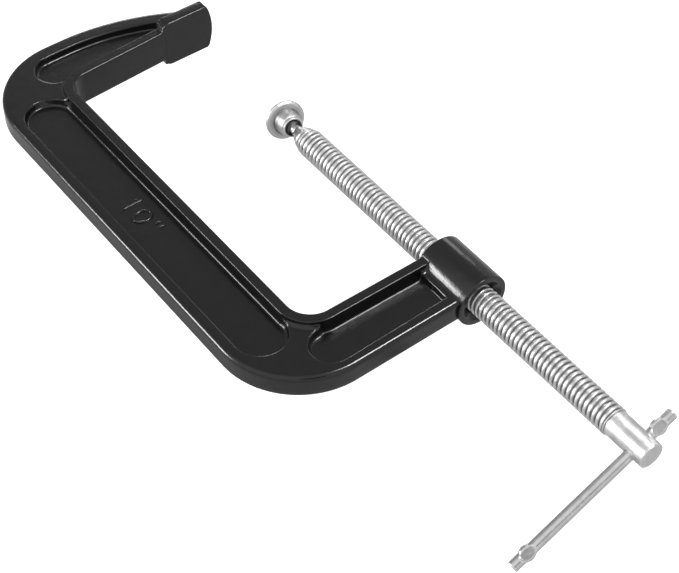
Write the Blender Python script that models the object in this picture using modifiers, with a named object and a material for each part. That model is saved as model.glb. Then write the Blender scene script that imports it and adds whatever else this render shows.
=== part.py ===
"""A 10 inch cast C clamp: one iron frame, a zinc-plated screw with a sliding bar, and a swivel pad.

The row frame: the origin is on the anvil's face, where the screw's axis meets it. +X runs along the
screw towards its handle, +Y runs out of the throat, and +Z is square to the frame's flat sides.
"""

from math import acos, asin, cos, pi, radians, sin, sqrt

import bmesh
import bpy
from mathutils import Matrix, Vector

MM = 0.001

# Driving dimensions, in millimetres.
THROAT_DEPTH = 101.6  # screw axis to the spine's inner face
SCREW_DIAMETER = 19.05
GAP = 0.3  # kept between pieces that touch

# Frame casting.
FLANGE_HALF = 12.3  # half the thickness of the inner flange
FLANGE_WIDTH = 6.9
RIM_HALF = 8.2  # half the thickness of the rim and the corner webs
RIM_RADIUS = 3.0
RECESS_HALF = 3.0  # half the thickness of the web under the recesses
FLANGE_EDGE = 0.7
PLATE_INSET = 3.4  # how far the rim plate runs in under the flange
ARM_INNER_X = 271.7
UPPER_INNER_X = 1.5  # inner face of the upper arm, halfway up the throat
UPPER_ARM_LEAN = radians(3.1)
UPPER_CORNER_RADIUS = 14.0
LOWER_CORNER_RADIUS = 17.0
OUTER_UPPER_CENTRE = (15.5, -92.0)
OUTER_UPPER_RADIUS = 57.5
OUTER_LOWER_CENTRE = (257.0, -94.5)
OUTER_LOWER_RADIUS = 56.0
ARM_OUTER_X = 311.8  # outer face of the lower arm where it meets the boss
ARM_END_Y = -11.5  # both arms run this far into the boss and behind the anvil
BACK_CURVE_CENTRE = (118.0, -80.0)
BACK_CURVE_RADIUS = 160.0
UPPER_RIM_WIDTH = 10.5
TIP_Y = 12.0
TIP_CHAMFER = (3.5, 3.0)
SPINE_OUTER_Y = -150.0
SPINE_RIM_WIDTH = 7.4
UNDER_FLANGE = 0.6  # how far each recess's outline runs in under the flange
SPINE_RECESS_ENDS = (22.3, 260.2)
ARM_RECESS_RIGHT = 306.2
ARM_RECESS_RIGHT_AT_BOSS = 303.8
ARM_RECESS_LOW_Y = -96.5
ARM_RECESS_HIGH_Y = -19.5
UPPER_RECESS_CENTRE = (-16.9, -98.0)
UPPER_RECESS_RADIUS = 14.5
UPPER_RECESS_HIGH_Y = -7.0
BOSS_START = 270.6
BOSS_END = 313.9
BOSS_RADIUS = 18.1
BOSS_EDGE = 1.0
BORE_CHAMFER = 1.2
BORE_RADIUS = SCREW_DIAMETER / 2 + GAP
COUNTERSINK_RADIUS = 14.4
COUNTERSINK_DEPTH = 4.6
ANVIL_HALF_HEIGHT = 17.9
ANVIL_LOW_Y = -22.0
ANVIL_HIGH_Y = 13.6
ANVIL_BULGE = 3.7
ANVIL_CORNER = 5.0
ANVIL_THICKNESS = 9.0
ANVIL_EDGE = 0.6
ANVIL_TIP_CHAMFER = 1.5
ARM_TO_ANVIL_TOP = 8.0  # the flange stops this far short of the anvil's high edge

# Screw.
BALL_X = 116.4
BALL_RADIUS = 5.0
NECK_RADIUS = 3.7
TAPER_START = 126.0
TAPER_STEP = 0.6
THREAD_START = 134.8
THREAD_END = 429.6
HEAD_RADIUS = 8.67
HEAD_END = 460.4
HEAD_CHAMFER = 0.8
HEAD_STEP = 1.0

# Sliding bar through the head.
BAR_X = 450.3
BAR_RADIUS = 3.66
BAR_TURN = radians(24.3)  # from +Y towards +Z
BAR_ROLL = radians(-57.0)  # how far its pinched flats are turned from facing along the screw
BAR_LONG_END = -98.8
BAR_SHORT_END = 26.6
CRIMP_FROM_TIP = 11.6
CRIMP_HALF_LENGTH = 5.6
CRIMP_HALF_WIDTH = 4.9
CRIMP_HALF_THICKNESS = 2.7
CRIMP_SWELL = 0.8
BAR_EDGE = 0.7
PINCH_RADIUS = 12.0
BAR_HOLE_RADIUS = 4.06

# Swivel pad, measured along its own axis from the ball's centre, with the face at the far side.
PAD_TILT = radians(17.5)
PAD_TILT_TOWARDS = radians(-55.0)  # from +Y towards +Z
PAD_FACE = 9.8
PAD_RADIUS = 13.7
PAD_RIM = 1.3
PAD_DISC = 3.6
COLLAR_RADIUS = 8.3
LIP_HEIGHT = 5.5
LIP_RADIUS = 6.8
MOUTH_RADIUS = 5.6
PAD_FACE_EDGE = 0.8
SEAT_RADIUS = BALL_RADIUS + GAP
RING_OUTER = 6.3
RING_BORE = NECK_RADIUS + GAP
RING_FRONT = 0.4
RING_BACK = 4.3
SOCKET_RADIUS = RING_OUTER + GAP
SEAT_DEPTH = 2.8

CUT = 20.0  # half the length of a cutter, longer than any wall it cuts
ROUND_STEPS = 48
SMALL_STEPS = 32


def clear_scene():
    """Remove the scene's objects and make the collections for the parts and the cutters."""
    for old in list(bpy.data.objects):
        bpy.data.objects.remove(old, do_unlink=True)
    for name in ("c_clamp", "cutters"):
        made = bpy.data.collections.new(name)
        bpy.context.scene.collection.children.link(made)


def link(mesh_object, collection="c_clamp"):
    bpy.data.collections[collection].objects.link(mesh_object)
    return mesh_object


def material(name, color, roughness, metallic):
    made = bpy.data.materials.new(name)
    made.use_nodes = True
    shader = made.node_tree.nodes["Principled BSDF"]
    shader.inputs["Base Color"].default_value = (*color, 1.0)
    shader.inputs["Roughness"].default_value = roughness
    shader.inputs["Metallic"].default_value = metallic
    return made


def arc(centre, radius, start, end, pieces):
    """Points of a circular arc; the angles are in radians from +X."""
    return [
        (centre[0] + radius * cos(start + (end - start) * i / pieces),
         centre[1] + radius * sin(start + (end - start) * i / pieces))
        for i in range(pieces + 1)
    ]


def slab(name, outline, low, high, edge=0.0, edge_steps=2):
    """A flat outline in millimetres given a thickness from low to high, with rounded edges if asked."""
    curve = bpy.data.curves.new(name, "CURVE")
    curve.dimensions = "2D"
    curve.fill_mode = "BOTH"
    curve.extrude = ((high - low) / 2 - edge) * MM
    curve.bevel_depth = edge * MM
    curve.bevel_resolution = edge_steps
    curve.offset = -edge * MM
    spline = curve.splines.new("POLY")
    spline.points.add(len(outline) - 1)
    for point, (x, y) in zip(spline.points, outline):
        point.co = (x * MM, y * MM, 0.0, 1.0)
    spline.use_cyclic_u = True
    source = link(bpy.data.objects.new(name + "_outline", curve), "cutters")
    source.location.z = (low + high) / 2 * MM
    bpy.context.view_layer.update()
    return meshed(source, name)


def meshed(source, name):
    """A curve object made a closed mesh in its place, with its caps welded on."""
    evaluated = source.evaluated_get(bpy.context.evaluated_depsgraph_get())
    mesh = bpy.data.meshes.new_from_object(evaluated)
    mesh.transform(source.matrix_world)
    work = bmesh.new()
    work.from_mesh(mesh)
    bmesh.ops.remove_doubles(work, verts=work.verts, dist=0.00001)
    bmesh.ops.recalc_face_normals(work, faces=work.faces)
    work.to_mesh(mesh)
    work.free()
    bpy.data.objects.remove(source, do_unlink=True)
    return link(bpy.data.objects.new(name, mesh))


def turned(name, profile, steps=ROUND_STEPS):
    """A turned solid about +X. The profile's (x, radius) points run from high x, outside, to low x."""
    mesh = bpy.data.meshes.new(name)
    points = [(radius * MM, 0.0, along * MM) for along, radius in profile]
    edges = [(i, i + 1) for i in range(len(points) - 1)]
    mesh.from_pydata(points, edges, [])
    solid = link(bpy.data.objects.new(name, mesh))
    spin = solid.modifiers.new("turn", "SCREW")
    spin.axis = "Z"
    spin.steps = steps
    spin.render_steps = steps
    spin.use_merge_vertices = True
    spin.merge_threshold = 0.00001
    spin.use_smooth_shade = True
    solid.matrix_world = Matrix.Rotation(pi / 2, 4, "Y")
    return solid


def baked(solid):
    """The object with its modifiers and its placement written into its mesh."""
    bpy.context.view_layer.update()
    evaluated = solid.evaluated_get(bpy.context.evaluated_depsgraph_get())
    mesh = bpy.data.meshes.new_from_object(evaluated)
    mesh.transform(solid.matrix_world)
    solid.modifiers.clear()
    solid.data = mesh
    solid.matrix_world = Matrix.Identity(4)
    return solid


def combine(target, tool, operation):
    """Join or cut the target with the tool by an exact Boolean, and drop the tool."""
    boolean = target.modifiers.new(tool.name, "BOOLEAN")
    boolean.operation = operation
    boolean.solver = "EXACT"
    boolean.object = tool
    baked(target)
    bpy.data.objects.remove(tool, do_unlink=True)
    return target


def finish(solid, name, look, origin=(0.0, 0.0, 0.0)):
    """Name the solid, put its origin on its joint and give it its material and smooth shading."""
    baked(solid)
    solid.name = name
    solid.data.name = name
    place = Vector(origin) * MM
    solid.data.transform(Matrix.Translation(-place))
    solid.location = place
    solid.data.materials.clear()
    solid.data.materials.append(look)
    solid.data.shade_smooth()
    solid.data.set_sharp_from_angle(angle=radians(35))
    return solid


# Frame.


def throat_path(inset):
    """The throat's outline moved into the metal by inset, from the boss round to the anvil."""
    lean = UPPER_ARM_LEAN
    lower = (ARM_INNER_X - LOWER_CORNER_RADIUS, -THROAT_DEPTH + LOWER_CORNER_RADIUS)
    upper_y = -THROAT_DEPTH + UPPER_CORNER_RADIUS
    face_x = UPPER_INNER_X - (upper_y + THROAT_DEPTH / 2) * sin(lean)
    upper = (face_x + UPPER_CORNER_RADIUS * cos(lean), upper_y)
    path = [(ARM_INNER_X + inset, ARM_END_Y)]
    path += arc(lower, LOWER_CORNER_RADIUS + inset, 0.0, -pi / 2, 10)
    path += arc(upper, UPPER_CORNER_RADIUS + inset, -pi / 2, lean - pi, 10)
    start = path[-1]
    run = ANVIL_HIGH_Y - ARM_TO_ANVIL_TOP - start[1]
    path.append((start[0] - run * sin(lean) / cos(lean), start[1] + run))
    return path


def back_curve(offset, y):
    """x of the upper arm's back, moved into the metal by offset, at height y."""
    centre_x, centre_y = BACK_CURVE_CENTRE
    radius = BACK_CURVE_RADIUS - offset
    rise = max(y - centre_y, 0.0)
    return centre_x - sqrt(radius * radius - rise * rise)


def rim_plate():
    """The rim and corner webs as one plate with a soft outer edge, before the recesses."""
    outline = throat_path(PLATE_INSET)
    tip_x = back_curve(0.0, TIP_Y)
    chamfer_x, chamfer_y = TIP_CHAMFER
    outline.append((tip_x + chamfer_x, TIP_Y))
    steps = 12
    high = TIP_Y - chamfer_y
    heights = [high + (OUTER_UPPER_CENTRE[1] - high) * i / steps for i in range(steps)]
    outline += [(back_curve(0.0, y), y) for y in heights]
    outline += arc(OUTER_UPPER_CENTRE, OUTER_UPPER_RADIUS, pi, 3 * pi / 2, 18)
    outline += arc(OUTER_LOWER_CENTRE, OUTER_LOWER_RADIUS, -pi / 2, 0.0, 18)
    outline.append((ARM_OUTER_X, ARM_END_Y))
    return slab("rim_plate", outline, -RIM_HALF, RIM_HALF, RIM_RADIUS, 3)


def recess_outlines():
    """The outlines of the three recesses; each runs a little way in under the flange."""
    top = -THROAT_DEPTH - FLANGE_WIDTH + UNDER_FLANGE
    bottom = SPINE_OUTER_Y + SPINE_RIM_WIDTH
    middle = (top + bottom) / 2
    half = (top - bottom) / 2
    spine = arc((SPINE_RECESS_ENDS[0], middle), half, pi / 2, 3 * pi / 2, 16)
    spine += arc((SPINE_RECESS_ENDS[1], middle), half, -pi / 2, pi / 2, 16)

    left = ARM_INNER_X + FLANGE_WIDTH - UNDER_FLANGE
    arm_half = (ARM_RECESS_RIGHT - left) / 2
    arm = [(left, ARM_RECESS_HIGH_Y)]
    arm += arc((left + arm_half, ARM_RECESS_LOW_Y), arm_half, -pi, 0.0, 16)
    arm.append((ARM_RECESS_RIGHT_AT_BOSS, ARM_RECESS_HIGH_Y))

    upper = arc(UPPER_RECESS_CENTRE, UPPER_RECESS_RADIUS, -pi, 0.0, 16)
    flange_x = throat_path(FLANGE_WIDTH - UNDER_FLANGE)[-1][0]
    upper.append((flange_x, UPPER_RECESS_HIGH_Y))
    steps = 8
    reach = BACK_CURVE_CENTRE[1] - UPPER_RECESS_HIGH_Y
    for y in [UPPER_RECESS_HIGH_Y + reach * i / steps for i in range(steps + 1)]:
        upper.append((min(back_curve(UPPER_RIM_WIDTH, y), flange_x - 1.0), y))
    return {"spine": spine, "arm": arm, "upper": upper}


def inner_flange():
    """The flat strip that runs round the throat, thicker than everything behind it."""
    outline = throat_path(0.0) + throat_path(FLANGE_WIDTH)[::-1]
    return slab("inner_flange", outline, -FLANGE_HALF, FLANGE_HALF, FLANGE_EDGE, 1)


def anvil_block():
    """The anvil: a plate across the end of the upper arm with one bulging side."""
    half = ANVIL_HALF_HEIGHT
    radius = (half * half + ANVIL_BULGE * ANVIL_BULGE) / (2 * ANVIL_BULGE)
    centre = (ANVIL_HIGH_Y + ANVIL_BULGE - radius, 0.0)
    reach = asin((half - ANVIL_TIP_CHAMFER) / radius)
    outline = [(ANVIL_HIGH_Y - ANVIL_TIP_CHAMFER, -half)]
    outline += arc(centre, radius, -reach, reach, 12)
    outline.append((ANVIL_HIGH_Y - ANVIL_TIP_CHAMFER, half))
    low = ANVIL_LOW_Y + ANVIL_CORNER
    outline += arc((low, half - ANVIL_CORNER), ANVIL_CORNER, pi / 2, pi, 5)
    outline += arc((low, -half + ANVIL_CORNER), ANVIL_CORNER, pi, 3 * pi / 2, 5)
    block = slab("anvil", outline, -ANVIL_THICKNESS, 0.0, ANVIL_EDGE, 1)
    block.data.transform(Matrix(((0, 0, 1, 0), (1, 0, 0, 0), (0, 1, 0, 0), (0, 0, 0, 1))))
    return block


def clamp_frame(look):
    """The whole casting, with the screw's clearance bore through its boss."""
    frame = rim_plate()
    for name, outline in recess_outlines().items():
        for side in (-1, 1):
            low, high = sorted((side * RECESS_HALF, side * FLANGE_HALF))
            combine(frame, slab(name, outline, low, high), "DIFFERENCE")
    combine(frame, inner_flange(), "UNION")
    combine(frame, anvil_block(), "UNION")
    boss = turned("boss", [
        (BOSS_END, 0.0), (BOSS_END, BOSS_RADIUS - BOSS_EDGE), (BOSS_END - BOSS_EDGE, BOSS_RADIUS),
        (BOSS_START + BOSS_EDGE, BOSS_RADIUS), (BOSS_START, BOSS_RADIUS - BOSS_EDGE), (BOSS_START, 0.0),
    ])
    combine(frame, boss, "UNION")
    past = BORE_RADIUS
    slope = (COUNTERSINK_RADIUS - BORE_RADIUS) / COUNTERSINK_DEPTH
    bore = turned("bore", [
        (BOSS_END + past, 0.0), (BOSS_END + past, COUNTERSINK_RADIUS + past * slope),
        (BOSS_END - COUNTERSINK_DEPTH, BORE_RADIUS), (BOSS_START + BORE_CHAMFER, BORE_RADIUS),
        (BOSS_START - past, BORE_RADIUS + BORE_CHAMFER + past), (BOSS_START - past, 0.0),
    ])
    combine(frame, bore, "DIFFERENCE")
    return finish(frame, "clamp_frame", look)


# Screw, bar and pad.


def clamp_screw(look):
    """The spindle at its thread's major diameter, with its ball, neck, taper and cross-drilled head."""
    major = SCREW_DIAMETER / 2
    neck_angle = asin(NECK_RADIUS / BALL_RADIUS)
    profile = [
        (HEAD_END, 0.0), (HEAD_END, HEAD_RADIUS - HEAD_CHAMFER), (HEAD_END - HEAD_CHAMFER, HEAD_RADIUS),
        (THREAD_END + HEAD_STEP, HEAD_RADIUS), (THREAD_END, major), (THREAD_START, major),
        (TAPER_START, NECK_RADIUS + TAPER_STEP), (TAPER_START - TAPER_STEP, NECK_RADIUS),
    ]
    profile += [(BALL_X + BALL_RADIUS * cos(angle), BALL_RADIUS * sin(angle))
                for angle in [neck_angle + (pi - neck_angle) * i / 14 for i in range(14)]]
    profile.append((BALL_X - BALL_RADIUS, 0.0))
    screw = turned("screw", profile)
    baked(screw)
    hole = turned("hole", [(CUT, 0.0), (CUT, BAR_HOLE_RADIUS), (-CUT, BAR_HOLE_RADIUS), (-CUT, 0.0)],
                  SMALL_STEPS)
    hole.matrix_world = bar_placement() @ hole.matrix_world
    combine(screw, baked(hole), "DIFFERENCE")
    return finish(screw, "clamp_screw", look, (BALL_X, 0.0, 0.0))


def bar_placement():
    """Turns local +X onto the bar's own direction and moves it to the head's hole."""
    along = Vector((0.0, cos(BAR_TURN), sin(BAR_TURN)))
    down_screw = Vector((1.0, 0.0, 0.0))
    flat = cos(BAR_ROLL) * down_screw + sin(BAR_ROLL) * along.cross(down_screw)
    wide = along.cross(flat)
    turn = Matrix((along, flat, wide)).transposed().to_4x4()
    return Matrix.Translation(Vector((BAR_X, 0.0, 0.0)) * MM) @ turn


def tommy_bar(look):
    """The bar: a rod whose ends are pinched into flats so that they swell past the head's hole."""
    rod = turned("rod", [
        (BAR_SHORT_END, 0.0), (BAR_SHORT_END, BAR_RADIUS - BAR_EDGE), (BAR_SHORT_END - BAR_EDGE, BAR_RADIUS),
        (BAR_LONG_END + BAR_EDGE, BAR_RADIUS), (BAR_LONG_END, BAR_RADIUS - BAR_EDGE), (BAR_LONG_END, 0.0),
    ], SMALL_STEPS)
    swell_size = (CRIMP_HALF_LENGTH, CRIMP_HALF_THICKNESS + CRIMP_SWELL, CRIMP_HALF_WIDTH)
    baked(rod)
    for middle in (BAR_SHORT_END - CRIMP_FROM_TIP, BAR_LONG_END + CRIMP_FROM_TIP):
        combine(rod, sphere("swell", swell_size, middle), "UNION")
        for side in (-1, 1):
            pinch = turned("pinch", [
                (CUT, 0.0), (CUT, PINCH_RADIUS), (-CUT, PINCH_RADIUS), (-CUT, 0.0),
            ], SMALL_STEPS)
            upright = Matrix.Rotation(-pi / 2, 4, "Y")
            aside = Vector((middle, side * (PINCH_RADIUS + CRIMP_HALF_THICKNESS), 0.0)) * MM
            pinch.matrix_world = Matrix.Translation(aside) @ upright @ pinch.matrix_world
            combine(rod, baked(pinch), "DIFFERENCE")
    rod.matrix_world = bar_placement()
    return finish(rod, "tommy_bar", look, (BAR_X, 0.0, 0.0))


def sphere(name, radii, middle):
    """An ellipsoid on local +X with its own three half sizes."""
    work = bmesh.new()
    bmesh.ops.create_uvsphere(work, u_segments=24, v_segments=16, radius=1.0)
    bmesh.ops.scale(work, vec=Vector(radii) * MM, verts=work.verts)
    bmesh.ops.translate(work, vec=Vector((middle, 0.0, 0.0)) * MM, verts=work.verts)
    mesh = bpy.data.meshes.new(name)
    work.to_mesh(mesh)
    work.free()
    return link(bpy.data.objects.new(name, mesh))


def pad_axis():
    """The direction in which the pad's face looks, tilted on the ball."""
    return Vector((
        -cos(PAD_TILT),
        sin(PAD_TILT) * cos(PAD_TILT_TOWARDS),
        sin(PAD_TILT) * sin(PAD_TILT_TOWARDS),
    ))


def on_ball(solid, direction):
    """Place a turned solid, drawn with its mouth at +X, on the ball with its mouth along direction."""
    turn = Vector((1.0, 0.0, 0.0)).rotation_difference(direction).to_matrix().to_4x4()
    baked(solid)
    solid.matrix_world = Matrix.Translation(Vector((BALL_X, 0.0, 0.0)) * MM) @ turn
    return solid


def ball_arc(radius, start_x, end_x, pieces):
    """(x, radius) points on a sphere about the ball's centre, between two places along the axis."""
    start = acos(start_x / radius)
    end = acos(end_x / radius)
    return [(radius * cos(start + (end - start) * i / pieces),
             radius * sin(start + (end - start) * i / pieces)) for i in range(pieces + 1)]


def swivel_pad(look):
    """The pad: a disc and a collar in one, with a socket that holds the ball and its ring."""
    seat_edge = sqrt(SEAT_RADIUS ** 2 - SEAT_DEPTH ** 2)
    mouth_x = sqrt(SOCKET_RADIUS ** 2 - MOUTH_RADIUS ** 2)
    disc_back = -PAD_FACE + PAD_DISC
    profile = ball_arc(SEAT_RADIUS, -SEAT_RADIUS, -SEAT_DEPTH, 8)
    profile[-1] = (-SEAT_DEPTH, seat_edge)
    profile += ball_arc(SOCKET_RADIUS, -SEAT_DEPTH, mouth_x, 12)
    profile += [
        (LIP_HEIGHT - 0.4, LIP_RADIUS - 0.8), (LIP_HEIGHT, LIP_RADIUS - 0.5), (LIP_HEIGHT - 0.2, LIP_RADIUS),
        (LIP_HEIGHT - 2.0, LIP_RADIUS + 0.7), (disc_back + 4.6, COLLAR_RADIUS - 0.2),
        (disc_back + 1.6, COLLAR_RADIUS), (disc_back + 0.7, COLLAR_RADIUS + 0.9),
        (disc_back, PAD_RADIUS - PAD_RIM), (disc_back - PAD_RIM * 0.5, PAD_RADIUS - 0.2),
        (disc_back - PAD_RIM, PAD_RADIUS), (-PAD_FACE + PAD_FACE_EDGE, PAD_RADIUS),
        (-PAD_FACE, PAD_RADIUS - PAD_FACE_EDGE),
        (-PAD_FACE, 0.0),
    ]
    pad = on_ball(turned("pad", profile, SMALL_STEPS), -pad_axis())
    return finish(pad, "swivel_pad", look, (BALL_X, 0.0, 0.0))


def pad_ring(look):
    """The ring behind the ball: round inside against the ball, round outside in the pad's socket."""
    profile = ball_arc(RING_OUTER, RING_BACK, RING_FRONT, 8)
    profile += ball_arc(SEAT_RADIUS, RING_FRONT, sqrt(SEAT_RADIUS ** 2 - RING_BORE ** 2), 6)
    profile += [(RING_BACK, RING_BORE), profile[0]]
    ring = on_ball(turned("ring", profile, SMALL_STEPS), Vector((1.0, 0.0, 0.0)))
    return finish(ring, "pad_ring", look, (BALL_X, 0.0, 0.0))


clear_scene()
clamp_frame(material("black_powder_coat", (0.012, 0.012, 0.013), 0.28, 0.0))
clamp_screw(material("zinc_plate_screw", (0.72, 0.72, 0.73), 0.32, 1.0))
tommy_bar(material("zinc_plate_bar", (0.74, 0.74, 0.75), 0.26, 1.0))
swivel_pad(material("zinc_plate_pad", (0.70, 0.70, 0.71), 0.38, 1.0))
pad_ring(material("phosphate_ring", (0.05, 0.05, 0.055), 0.5, 1.0))
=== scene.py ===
"""A 10 inch C clamp for the bench: a black cast frame, a zinc-plated screw with a sliding bar, and a
swivel pad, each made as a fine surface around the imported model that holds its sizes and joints.

The model's frame: the origin is on the anvil's face on the screw's axis, +X runs along the screw
towards the handle, +Y out of the throat and +Z square to the frame's flat sides.  Every size and
place below is in millimetres in that frame.
"""

from math import radians

import bpy
import numpy as np
from mathutils import Matrix, Vector


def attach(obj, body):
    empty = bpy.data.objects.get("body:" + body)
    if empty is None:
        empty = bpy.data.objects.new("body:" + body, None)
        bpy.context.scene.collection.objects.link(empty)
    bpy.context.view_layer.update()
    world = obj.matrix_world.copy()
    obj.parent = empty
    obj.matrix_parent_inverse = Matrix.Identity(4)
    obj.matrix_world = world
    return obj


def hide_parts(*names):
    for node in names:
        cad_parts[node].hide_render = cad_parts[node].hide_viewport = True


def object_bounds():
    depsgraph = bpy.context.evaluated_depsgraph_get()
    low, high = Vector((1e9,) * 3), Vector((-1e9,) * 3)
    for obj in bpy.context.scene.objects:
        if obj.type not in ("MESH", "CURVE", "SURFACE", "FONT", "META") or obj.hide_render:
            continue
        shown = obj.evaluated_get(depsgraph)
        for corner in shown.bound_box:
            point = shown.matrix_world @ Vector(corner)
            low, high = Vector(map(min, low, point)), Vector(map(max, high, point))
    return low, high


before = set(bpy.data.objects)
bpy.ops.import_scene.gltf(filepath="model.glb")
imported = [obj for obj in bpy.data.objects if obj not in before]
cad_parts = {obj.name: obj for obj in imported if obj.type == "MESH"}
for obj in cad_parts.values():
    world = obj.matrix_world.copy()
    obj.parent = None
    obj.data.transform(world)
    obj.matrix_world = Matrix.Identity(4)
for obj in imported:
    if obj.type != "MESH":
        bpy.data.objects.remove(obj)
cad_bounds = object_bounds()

# ---------------------------------------------------------------------------------------------------
# The casting.  One piece of ductile iron, shaped like a C: a thick flange runs round the throat, a
# thinner rim runs round the outside, and three shallow recesses between them save weight.  It comes
# from a two-part sand mould, so both sides are the same and every wall leans a little.
# ---------------------------------------------------------------------------------------------------

MM = 0.001
FLANGE_TOP = 12.3
FLANGE_WIDTH = 6.9
FLANGE_EDGE = 0.9
RIM_TOP = 8.15
RIM_EDGE = 3.0
FLOOR_TOP = 3.0
WALL_LEAN = 0.12  # how far a wall leans for each unit of its height
THROAT_Y = -101.6
ARM_INNER_X = 271.7
LOWER_INNER = ((254.7, -84.6), 17.0)
LOWER_OUTER = ((257.0, -94.5), 56.0)
UPPER_INNER = ((17.47, -87.6), 14.0)
UPPER_OUTER = ((15.5, -92.0), 57.5)
BACK_CURVE = ((118.0, -80.0), 160.0)
ARM_LEAN = radians(3.1)
NOSE = ((-9.75, 6.0), 6.0)
ARM_END_Y = -13.0
ARM_OUTER_LINE = ((311.8, -11.5), (313.0, -94.5))
SPINE_OUTER_LINE = ((257.0, -150.5), (15.5, -149.5))
BOSS_RADIUS = 18.1
SPINE_RECESS = ((22.3, 260.2), -125.25, 17.35)
ARM_RECESS_X = (278.0, 306.2, 303.8)
ARM_RECESS_Y = (-96.5, -19.5)
UPPER_RECESS_END = ((-16.9, -98.0), 14.5)
UPPER_RIM_WIDTH = 10.5
UNDER_FLANGE = 4.0
UNDER_FLANGE_EASE = 8.0
RECESS_LIP = 1.1
RECESS_FOOT = 2.0
WALL_EDGE = 0.7
BOSS_FILLET = 3.0
BOSS_SINK = 0.06
ANVIL_BACK = (-9.0, -22.0)
ANVIL_RAMP_TOP = 16.6
ANVIL_RAMP_SLOPE = 5.0
ANVIL_RAMP_FILLET = 2.4
ANVIL_RAMP_LIMIT = 17.0
FAR = 99.0


def grid_faces(rows, columns, wrap_rows=False, wrap_columns=False):
    """Quads that join each point of a rows x columns grid with its next ones."""
    r = np.arange(rows if wrap_rows else rows - 1)[:, None]
    c = np.arange(columns if wrap_columns else columns - 1)[None, :]
    below, beside = (r + 1) % rows, (c + 1) % columns
    return np.stack(
        [r * columns + c, r * columns + beside, below * columns + beside, below * columns + c], axis=-1
    ).reshape(-1, 4)


def weld(points, faces):
    """Points in one place made one; a quad that loses a corner by it ends in two equal corners."""
    points = np.asarray(points, float).reshape(-1, 3)
    keys = np.round(points * 10000.0).astype(np.int64)
    _, first, index = np.unique(keys, axis=0, return_index=True, return_inverse=True)
    faces = index.reshape(-1)[faces]
    same = faces == np.roll(faces, -1, axis=1)
    kept = same.sum(axis=1) < 2
    faces, same = faces[kept], same[kept]
    shift = np.where(same.any(axis=1), np.argmax(same, axis=1) - 2, 0)
    return points[first], np.take_along_axis(faces, (np.arange(4) + shift[:, None]) % 4, axis=1)


def piece(name, points, faces, body, node, slot, look):
    """A smooth piece from points and quads (equal last corners make a triangle), put on its body."""
    mesh = bpy.data.meshes.new(name)
    points = np.asarray(points, float).reshape(-1, 3) * MM
    faces = np.asarray(faces, int).reshape(-1, 4)
    sizes = np.where(faces[:, 2] == faces[:, 3], 3, 4)
    corners = faces[np.arange(4)[None, :] < sizes[:, None]]
    mesh.vertices.add(len(points))
    mesh.vertices.foreach_set("co", points.astype(np.float32).ravel())
    mesh.loops.add(len(corners))
    mesh.loops.foreach_set("vertex_index", corners.astype(np.int32))
    mesh.polygons.add(len(faces))
    mesh.polygons.foreach_set("loop_start", (np.cumsum(sizes) - sizes).astype(np.int32))
    mesh.update(calc_edges=True)
    mesh.validate()
    mesh.shade_smooth()
    mark_edges(mesh)
    made = bpy.data.objects.new(name, mesh)
    bpy.context.scene.collection.objects.link(made)
    made.data.materials.append(look)
    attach(made, body)
    if node:
        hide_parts(node)
    return made


def mark_edges(mesh):
    """Attribute "edge": mean of (difference of normals) . (difference of places) / (length squared)
    over a point's edges, which is its bend outwards in turns per metre; 1 is a radius of 1 mm."""
    count = len(mesh.vertices)
    place = np.empty(count * 3, np.float32)
    normal = np.empty(count * 3, np.float32)
    ends = np.empty(len(mesh.edges) * 2, np.int32)
    mesh.vertices.foreach_get("co", place)
    mesh.vertices.foreach_get("normal", normal)
    mesh.edges.foreach_get("vertices", ends)
    place, normal, ends = place.reshape(-1, 3), normal.reshape(-1, 3), ends.reshape(-1, 2)
    apart = place[ends[:, 1]] - place[ends[:, 0]]
    turn = normal[ends[:, 1]] - normal[ends[:, 0]]
    length = np.maximum((apart ** 2).sum(1), 1e-12)
    bend = (turn * apart).sum(1) / length
    total = np.bincount(ends.ravel(), weights=np.repeat(bend, 2), minlength=count)
    many = np.maximum(np.bincount(ends.ravel(), minlength=count), 1)
    attribute = mesh.attributes.new("edge", "FLOAT", "POINT")
    attribute.data.foreach_set("value", np.clip(total / many * MM, -1.0, 1.0).astype(np.float32))


def quarter(value):
    """1 - sqrt(1 - value^2) for value between 0 and 1: a quarter circle's drop."""
    return 1.0 - np.sqrt(np.maximum(1.0 - np.clip(value, 0.0, 1.0) ** 2, 0.0))


def ease(value):
    """3v^2 - 2v^3 between 0 and 1."""
    v = np.clip(value, 0.0, 1.0)
    return v * v * (3.0 - 2.0 * v)


def soft_max(a, b, k):
    """The larger of a and b, with the corner between them rounded over a height k."""
    return np.maximum(a, b) + np.maximum(k - np.abs(a - b), 0.0) ** 2 / (4.0 * np.maximum(k, 1e-9))


def from_throat(x, y):
    """Distance into the metal from the throat: straight sides, and a circle about each corner."""
    (lx, ly), lr = LOWER_INNER
    (ux, uy), ur = UPPER_INNER
    along = -(x - ux) * np.sin(ARM_LEAN) + (y - uy) * np.cos(ARM_LEAN)
    upper_side = -(x - ux) * np.cos(ARM_LEAN) - (y - uy) * np.sin(ARM_LEAN) - ur
    flat = np.maximum(np.maximum(x - ARM_INNER_X, THROAT_Y - y), upper_side)
    lower = (x > lx) & (y < ly)
    upper = (x < ux) & (y < uy) & (along < 0.0)
    d = np.where(lower, np.hypot(x - lx, y - ly) - lr, flat)
    return np.where(upper, np.hypot(x - ux, y - uy) - ur, d), upper_side


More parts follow.
